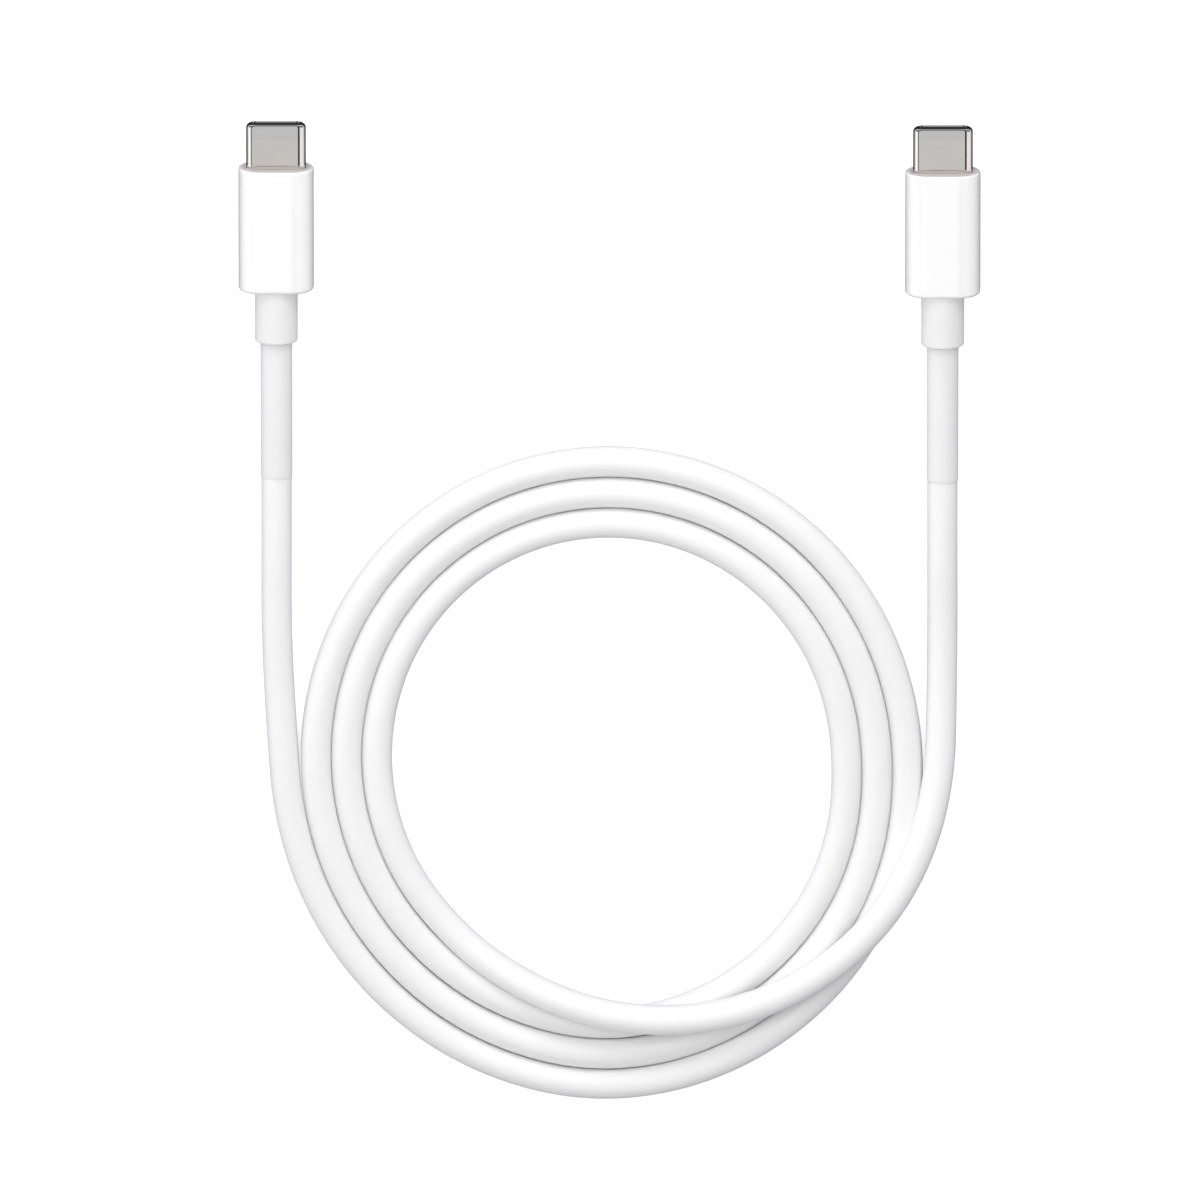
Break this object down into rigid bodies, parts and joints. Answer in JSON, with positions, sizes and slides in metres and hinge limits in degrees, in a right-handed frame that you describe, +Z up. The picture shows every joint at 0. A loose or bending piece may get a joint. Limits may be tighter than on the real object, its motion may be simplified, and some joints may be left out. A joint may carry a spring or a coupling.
{
  "type": "charging cable",
  "caption": "White charging cable wound in a flat coil, with a reversible oval plug, strain-relief collar and flexible sleeve at each end.",
  "frame": {"origin": "on the surface that the cable lies on, in the middle of the box round the two plugs", "axes": "+Z up from that surface, +Y the way both plugs point, +X from the left plug to the right one"},
  "size_m": [0.1026, 0.141, 0.0086],
  "materials": {
    "cable_jacket": "soft satin",
    "housing_plastic": "high gloss",
    "insert_plastic": "satin",
    "collar_elastomer": "fine matte",
    "sleeve_elastomer": "fine matte",
    "plug_steel": "bright nickel plate",
    "carrier_polymer": "moulded",
    "gold_contact": "gold plate",
    "spring_steel": "bright",
    "circuit_board": "solder mask",
    "chip_ceramic": "ceramic",
    "chip_resin": "moulded resin",
    "tinned_steel": "tin plate",
    "tinned_braid": "woven tinned wire",
    "inner_plastic": "as moulded",
    "red_insulation": "extruded",
    "black_insulation": "extruded",
    "green_insulation": "extruded",
    "blue_insulation": "extruded"
  },
  "bodies": {
    "cable": {"left_lead": "cable_jacket", "coil": "cable_jacket", "right_lead": "cable_jacket"},
    "left_plug": {"left_metal_shell": "plug_steel", "left_front_cap": "insert_plastic", "left_housing": "housing_plastic", "left_collar": "collar_elastomer", "left_sleeve": "sleeve_elastomer", "left_jacket_end": "cable_jacket", "left_contact_carrier": "carrier_polymer", "left_contact_tails": "gold_contact", "left_latch_bridge": "spring_steel", "left_ground_springs": "spring_steel", "left_paddle_card": "circuit_board", "left_capacitors": "chip_ceramic", "left_upper_shield_can": "tinned_steel", "left_lower_shield_can": "tinned_steel", "left_braid_end": "tinned_braid", "left_crimp_ferrule": "tinned_steel", "left_inner_mould": "inner_plastic", "left_power_wire": "red_insulation", "left_ground_wire": "black_insulation", "left_data_wires": "green_insulation", "left_sense_wire": "blue_insulation", "left_marker_chip": "chip_resin"},
    "left_upper_row": {"left_upper_contacts": "gold_contact"},
    "left_lower_row": {"left_lower_contacts": "gold_contact"},
    "left_outer_arm": {"left_outer_latch": "spring_steel"},
    "left_inner_arm": {"left_inner_latch": "spring_steel"},
    "right_plug": {"right_metal_shell": "plug_steel", "right_front_cap": "insert_plastic", "right_housing": "housing_plastic", "right_collar": "collar_elastomer", "right_sleeve": "sleeve_elastomer", "right_jacket_end": "cable_jacket", "right_contact_carrier": "carrier_polymer", "right_contact_tails": "gold_contact", "right_latch_bridge": "spring_steel", "right_ground_springs": "spring_steel", "right_paddle_card": "circuit_board", "right_capacitors": "chip_ceramic", "right_upper_shield_can": "tinned_steel", "right_lower_shield_can": "tinned_steel", "right_braid_end": "tinned_braid", "right_crimp_ferrule": "tinned_steel", "right_inner_mould": "inner_plastic", "right_power_wire": "red_insulation", "right_ground_wire": "black_insulation", "right_data_wires": "green_insulation", "right_sense_wire": "blue_insulation"},
    "right_upper_row": {"right_upper_contacts": "gold_contact"},
    "right_lower_row": {"right_lower_contacts": "gold_contact"},
    "right_outer_arm": {"right_outer_latch": "spring_steel"},
    "right_inner_arm": {"right_inner_latch": "spring_steel"}
  },
  "joints": [
    {"name": "left_strain_relief_flex", "type": "hinge", "parent": "cable", "child": "left_plug", "pos_m": [-0.04613, -0.01921, 0.0035], "axis": [0, 0, 1], "range_deg": [-25, 25], "stiffness_Nm_per_rad": 0.01, "deforming": ["left_sleeve", "left_jacket_end"]},
    {"name": "left_contact_spread", "type": "hinge", "parent": "left_plug", "child": "left_upper_row", "pos_m": [-0.04613, 0.01973, 0.00398], "axis": [1, 0, 0], "range_deg": [0, 2.4], "stiffness_Nm_per_rad": 0.0001},
    {"name": "left_lower_spread", "type": "hinge", "parent": "left_plug", "child": "left_lower_row", "pos_m": [-0.04613, 0.01973, 0.00302], "axis": [-1, 0, 0], "range_deg": [0, 2.4], "stiffness_Nm_per_rad": 0.0001},
    {"name": "left_outer_latch_spread", "type": "hinge", "parent": "left_plug", "child": "left_outer_arm", "pos_m": [-0.04961, 0.01753, 0.0035], "axis": [0, 0, 1], "range_deg": [0, 2.4], "stiffness_Nm_per_rad": 0.0001},
    {"name": "left_inner_latch_spread", "type": "hinge", "parent": "left_plug", "child": "left_inner_arm", "pos_m": [-0.04265, 0.01753, 0.0035], "axis": [0, 0, -1], "range_deg": [0, 2.4], "stiffness_Nm_per_rad": 0.0001},
    {"name": "right_strain_relief_flex", "type": "hinge", "parent": "cable", "child": "right_plug", "pos_m": [0.04613, -0.01981, 0.0035], "axis": [0, 0, 1], "range_deg": [-25, 25], "stiffness_Nm_per_rad": 0.01, "deforming": ["right_sleeve", "right_jacket_end"]},
    {"name": "right_contact_spread", "type": "hinge", "parent": "right_plug", "child": "right_upper_row", "pos_m": [0.04613, 0.01913, 0.00398], "axis": [1, 0, 0], "range_deg": [0, 2.4], "stiffness_Nm_per_rad": 0.0001},
    {"name": "right_lower_spread", "type": "hinge", "parent": "right_plug", "child": "right_lower_row", "pos_m": [0.04613, 0.01913, 0.00302], "axis": [-1, 0, 0], "range_deg": [0, 2.4], "stiffness_Nm_per_rad": 0.0001},
    {"name": "right_outer_latch_spread", "type": "hinge", "parent": "right_plug", "child": "right_outer_arm", "pos_m": [0.04961, 0.01693, 0.0035], "axis": [0, 0, -1], "range_deg": [0, 2.4], "stiffness_Nm_per_rad": 0.0001},
    {"name": "right_inner_latch_spread", "type": "hinge", "parent": "right_plug", "child": "right_inner_arm", "pos_m": [0.04265, 0.01693, 0.0035], "axis": [0, 0, 1], "range_deg": [0, 2.4], "stiffness_Nm_per_rad": 0.0001}
  ],
  "couplings": [
    {"joint": "left_lower_spread", "follows": "left_contact_spread", "ratio": 1},
    {"joint": "left_outer_latch_spread", "follows": "left_contact_spread", "ratio": 1},
    {"joint": "left_inner_latch_spread", "follows": "left_contact_spread", "ratio": 1},
    {"joint": "right_lower_spread", "follows": "right_contact_spread", "ratio": 1},
    {"joint": "right_outer_latch_spread", "follows": "right_contact_spread", "ratio": 1},
    {"joint": "right_inner_latch_spread", "follows": "right_contact_spread", "ratio": 1}
  ]
}
